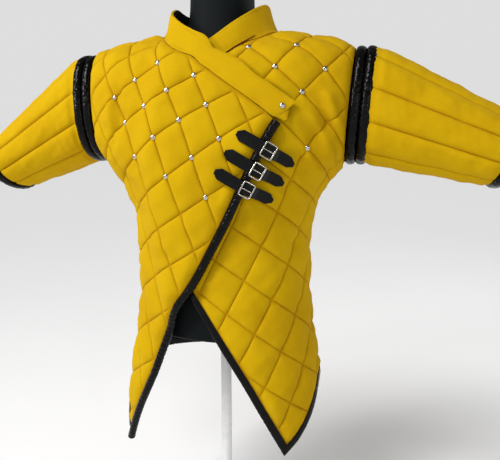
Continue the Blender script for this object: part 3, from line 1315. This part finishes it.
def sleeve_height(share, pad, stations, ends, seed):
    """How far a sleeve's outer face stands off its inner one: channels, drag folds and grooves."""
    rows, count = len(stations), len(share)
    around = np.arange(count) / count * 0.5 * 4 * math.pi
    run, turn = (part.ravel() for part in np.meshgrid(stations * 0.22, around, indexing="ij"))
    loops = np.stack([run, 0.08 * np.cos(turn), 0.08 * np.sin(turn)], 1)
    drag = ripple(loops * (1.6, 0.7, 0.7), 0.085, seed) * 0.0006 + ripple(loops, 0.03, seed + 9) * 0.0004
    drag += ripple(loops * (0.8, 1, 1), 0.014, seed + 19) * 0.00015
    drag = drag.reshape(rows, count) * ends[:, None]
    groove = np.exp(-(np.minimum(share, 1 - share) * 0.055 / GROOVE_WIDTH) ** 2) * GROOVE
    return WALL + (PUFF * pad * 0.92)[None, :] * ends[:, None] + drag * np.clip(pad, 0.15, 1) - groove


def cuff_rings(name, seed):
    """Rings round the arm of a bound cuff with small puckers: over the cloth, then back inside it."""
    low, high = CUFF_AT
    section = [(low + (high - low) * (0.5 - 0.5 * math.cos(turn)), 0.0042 + 0.0056 * math.sin(turn) ** 0.6)
               for turn in np.linspace(0, math.pi, 9)]
    section += [(at, -0.0010) for at in (high, (low + high) / 2, low)]
    rings = []
    for at, offset in section:
        ring = np.array(sleeve_rings(name, 150, [at, at + 0.01]))
        rings.append(ring[0] + ring_normals(ring)[0] * offset)
    rings = np.array(rings)
    points = rings.reshape(-1, 3)
    wave = ripple(points, 0.011, seed) * 0.6 - np.abs(ripple(points, 0.012, seed + 1)) * 0.6
    spoke = rings - rings.mean(axis=1, keepdims=True)
    spoke /= np.linalg.norm(spoke, axis=2, keepdims=True)
    return rings + spoke * (CUFF_CREASE * wave).reshape(rings.shape[:2])[..., None]


def make_bands():
    """Two padded rolls round each armhole, pressed a little flat."""
    seed = 90
    for name, (side, *_) in SLEEVES.items():
        loop = arm_loop(side, 26)
        for part, beyond in (("inner", BAND_AT), ("outer", BAND_AT + BAND_STEP)):
            path = smooth_loop(in_arm_plane(side, loop, beyond), 420)
            rings = crinkled(tube_rings(path, BAND_RADIUS, 24, True), True, *BAND_CREASE, seed)
            spoke = path - path.mean(axis=0)
            spoke /= np.linalg.norm(spoke, axis=1, keepdims=True)
            rise = ((rings - path[:, None]) * spoke[:, None]).sum(axis=-1, keepdims=True)
            rings = rings - spoke[:, None] * (rise * BAND_FLAT + BAND_SINK)
            piece = add_leather(f"arm_band_{part}_{name}", rings, closed=True)
            seed += 5


def strap_piece(name, start, end, shares, offsets, widths):
    """One leather strap on the fronts, with rolled edges, over its solid's stations."""
    fine = finer(np.stack([shares, offsets, widths], 1), 0.02)
    way = (end - start) / np.linalg.norm(end - start)
    side = np.array((-way[1], way[0])) * STRAP_WIDTH / 2
    spots = start + (end - start) * fine[:, :1]
    lines = [spots + side * fine[:, 2:] * sign for sign in (-1, 1)]
    edge = [(0.0, 0.25), (0.0, 0.75), (0.02, 0.93), (0.06, 1.0)]
    middle = [(0.3, 1.02), (0.5, 1.03), (0.7, 1.02)]
    top = edge + middle + [(1 - share, rise) for share, rise in edge[::-1]]
    section = np.array(top + [(0.98, 0.03), (0.5, 0.0), (0.02, 0.03)]) * (1, STRAP_THICK)

    def place(flat, offset, station):
        return FRONT.place(flat[:, 0], flat[:, 1], fine[station, 1] + offset)
    return add_leather(name, strip_rings(lines, section, place), material=STRAP_LEATHER)


def buckle_path(centre, ahead, aside):
    """A closed rectangle with round corners, round the middle of a buckle."""
    corners = []
    for corner, (sx, sy) in enumerate(((1, 1), (-1, 1), (-1, -1), (1, -1))):
        for step in range(9):
            angle = math.radians(90 * corner + 90 / 8 * step)
            forward = sx * (BUCKLE_LENGTH / 2 - BUCKLE_CORNER) + BUCKLE_CORNER * math.cos(angle)
            sideways = sy * (BUCKLE_WIDTH / 2 - BUCKLE_CORNER) + BUCKLE_CORNER * math.sin(angle)
            corners.append(centre + ahead * forward + aside * sideways)
    return finer(corners + corners[:1], 0.002)[:-1]


def make_fastenings():
    """Three buckled straps, on the same stations as their solids."""
    straps = []
    high = STRAP_HIGH
    for number, (start, end) in enumerate(np.array(STRAPS), 1):
        length = np.linalg.norm(end - start)
        bar = BUCKLE_LENGTH / 2 / length
        meet = BUCKLE_AT - bar * 0.55
        tip = STRAP_WIDTH * TIP_LENGTH / length
        low = STRAP_LOW_OVER
        straps.append(strap_piece(f"strap_short_{number}", start, end, [0, tip, 0.2, 0.3, meet - 0.003],
                                  [low, low, (low + high) / 2, high, high], [TIP_WIDTH, 1, 1, 1, 1]))
        low = STRAP_LOW_UNDER
        straps.append(strap_piece(f"strap_long_{number}", start, end,
                                  [meet + 0.003, BUCKLE_AT, BUCKLE_AT + bar, 0.72, 0.82, 1 - tip, 1],
                                  [high, high, high - 0.0008, low + 0.006, low + 0.002, low, low],
                                  [1, 1, 1, 1, 1, 1, TIP_WIDTH]))
        middle = start + (end - start) * BUCKLE_AT
        centre, ahead, aside, away = surface_frame(
            middle, (end - start) / length, high + STRAP_THICK + BUCKLE_WIRE + SEAM_GAP)
        rings = tube_rings(buckle_path(centre, ahead, aside), BUCKLE_WIRE, 14, True)
        add_metal(f"buckle_frame_{number}", rings, closed=True)
        lift = away * (BUCKLE_WIRE + PRONG_RADIUS + SEAM_GAP)
        shares = np.linspace(-1.05, 1.08, 24)
        prong = np.array([centre + lift + ahead * (BUCKLE_LENGTH / 2 * t) for t in shares])
        rings = tube_rings(prong, PRONG_RADIUS, 12, False)
        taper = np.interp(shares, [-1.05, 0.6, 1.08], [1.0, 0.95, 0.7])[:, None, None]
        add_metal(f"buckle_prong_{number}", prong[:, None] + (rings - prong[:, None]) * taper)
    return straps


def surface_tree(mesh):
    """A mesh as a tree in which rays find its surface."""
    points = np.empty(len(mesh.vertices) * 3)
    mesh.vertices.foreach_get("co", points)
    faces = [tuple(face.vertices) for face in mesh.polygons]
    return BVHTree.FromPolygons(points.reshape(-1, 3).tolist(), faces)


def make_studs(carriers):
    """Domed studs, pressed lightly into the padding at the quilting's crossings."""
    trees = {name: surface_tree(piece.data) for name, piece in carriers.items()}
    spots = [("stud_tab", COLLAR_STUD, trees["collar_over"])]
    for name, quilting, crossings in (("over", OVER_QUILT, OVER_STUDS), ("under", UNDER_QUILT, UNDER_STUDS)):
        for number, (a, b) in enumerate(crossings, 1):
            spots.append((f"stud_{name}_{number:02d}", quilting.crossing(a, b), trees["front_" + name]))
    angle = np.linspace(0, 2 * math.pi, 28, endpoint=False)
    profile = [(1.0, 0.0), (1.0, 0.10), (0.97, 0.28), (0.88, 0.52), (0.72, 0.74), (0.50, 0.89), (0.25, 0.97),
               (0.04, 1.0)]
    for name, spot, tree in spots:
        centre, ahead, aside, away = surface_frame(spot, (1, 0), 0.05)
        reach = [tree.ray_cast(Vector(centre + STUD_RADIUS * share * (math.cos(t) * ahead
                 + math.sin(t) * aside)), Vector(-away))[3] for t in angle[::3] for share in (0.5, 0.9)]
        centre = centre - away * (np.mean(reach) + STUD_SINK)
        ring = np.cos(angle)[:, None] * ahead + np.sin(angle)[:, None] * aside
        add_metal(name, [centre + away * STUD_HEIGHT * rise + STUD_RADIUS * radius * ring
                         for radius, rise in profile])


def make_form():
    """The limbless form inside the garment, with slightly rounded ends."""
    rows = np.linspace(0, len(FORM) - 1, 130)
    turns = np.linspace(0, 2 * math.pi, 96, endpoint=False)
    rings = np.array([FORM_TRUNK.point(turns, np.full(96, row)) for row in rows])
    base, top = rings[0], rings[-1]
    base[:, 2] = FORM[0, 0]
    top[:, 2] = FORM[-1, 0]
    inner = base.mean(axis=0) + (base - base.mean(axis=0)) * 0.97
    base[:, 2] += 0.004
    crown = top.mean(axis=0) + (top - top.mean(axis=0)) * 0.92
    top[:, 2] -= 0.004
    rings = np.concatenate([[inner], rings, [crown]])
    add_loft("dress_form_shell", rings, [SHELL], "form_skin", ["dress_form"], sharp=60)


def lathe(name, profile, node):
    """A turned piece about the Z axis, from (radius, height) pairs."""
    turns = np.linspace(0, 2 * math.pi, 96, endpoint=False)
    rings = [np.stack([radius * np.cos(turns), radius * np.sin(turns), np.full(96, height)], 1)
             for radius, height in profile]
    return add_loft(name, rings, [ENAMEL], "white_enamel", [node], sharp=40)


def make_stand():
    """The base with its hub and rounded edge, and the pole between them and the form."""
    edge = [(BASE_RADIUS - 0.0035 + 0.0035 * math.sin(t), BASE_THICK - 0.004 + 0.0035 * math.cos(t) - 0.001)
            for t in np.linspace(0, math.pi / 2, 7)]
    lathe("stand_base_enamel", [(HUB_RADIUS - 0.004, HUB_TOP), (HUB_RADIUS - 0.0015, HUB_TOP - 0.0008),
                                (HUB_RADIUS, HUB_TOP - 0.003), (HUB_RADIUS, BASE_THICK + 0.008),
                                (HUB_RADIUS + 0.002, BASE_THICK + 0.003), (HUB_RADIUS + 0.006, BASE_THICK),
                                (BASE_RADIUS - 0.012, BASE_THICK - 0.0008), *edge, (BASE_RADIUS, 0.001),
                                (BASE_RADIUS - 0.001, 0.0)], "stand_base")
    low, high = HUB_TOP + SEAM_GAP, FORM[0, 0] - SEAM_GAP
    lathe("stand_pole_enamel", [(POLE_RADIUS - 0.0008, high), (POLE_RADIUS, high - 0.0008),
                                (POLE_RADIUS, low + 0.0008), (POLE_RADIUS - 0.0008, low)], "stand_pole")


# Studio


def make_studio():
    """The floor, the surroundings, the lamps and the camera."""
    scene = bpy.context.scene
    bpy.ops.mesh.primitive_circle_add(vertices=96, radius=60, fill_type="NGON")
    floor = bpy.context.object
    floor.name = "floor"
    material, add, link = new_material("floor_paint", Roughness=0.9, Specular_IOR_Level=0.1,
                                       Emission_Strength=0.12)
    clouds = add("TexNoise", [("Vector", add("TexCoord").outputs["Object"])], Scale=2.0)
    link(ramp(add, clouds.outputs["Fac"], (0.3, (0.87, 0.87, 0.87)), (0.7, (0.88, 0.88, 0.88))), "Base Color")
    floor.data.materials.append(material)

    world = bpy.data.worlds.new("studio")
    scene.world = world
    world.use_nodes = True
    nodes, links = world.node_tree.nodes, world.node_tree.links
    height = nodes.new("ShaderNodeSeparateXYZ")
    fall = nodes.new("ShaderNodeMapRange")
    fall.interpolation_type = "SMOOTHSTEP"
    for key, value in WORLD_FALL.items():
        fall.inputs[key].default_value = value
    links.new(nodes.new("ShaderNodeTexCoord").outputs["Generated"], height.inputs[0])
    links.new(height.outputs["Z"], fall.inputs["Value"])
    links.new(fall.outputs[0], nodes["Background"].inputs["Strength"])
    nodes["Background"].inputs["Color"].default_value = (1.0, 1.0, 1.0, 1)
    for name, kind, place, aim, size, power in LAMPS:
        light = bpy.data.lights.new(name, kind)
        light.energy = power
        if kind == "SUN":
            light.angle = math.radians(size)
        else:
            light.shape, light.size = "DISK", size
        lamp = bpy.data.objects.new(name, light)
        lamp.location = place
        lamp.rotation_euler = (Vector(aim) - Vector(place)).to_track_quat("-Z", "Y").to_euler()
        scene.collection.objects.link(lamp)
    scene.view_settings.view_transform = "Standard"

    camera = bpy.data.objects.new("camera", bpy.data.cameras.new("camera"))
    scene.collection.objects.link(camera)
    scene.camera = camera
    camera.data.lens = camera.data.sensor_width * FOCAL / IMAGE_WIDTH
    around = math.radians(CAMERA_AROUND)
    camera.location = (math.sin(around), -math.cos(around), CAMERA_HEIGHT)
    heading = around - math.atan((IMAGE_WIDTH / 2 - MIDDLE) / FOCAL)
    down = math.radians(CAMERA_DOWN)
    ahead = Vector((-math.sin(heading) * math.cos(down), math.cos(heading) * math.cos(down), -math.sin(down)))
    camera.rotation_euler = ahead.to_track_quat("-Z", "Y").to_euler()
    camera.data.clip_start = 0.02


make_bands()
made_trims = make_trims()
made_straps = make_fastenings()
made_panels = make_panels(made_trims, made_straps)
make_form()
make_linings()
made_panels.update(make_collars())
make_tab()
make_sleeves()
make_studs(made_panels)
make_stand()
make_studio()
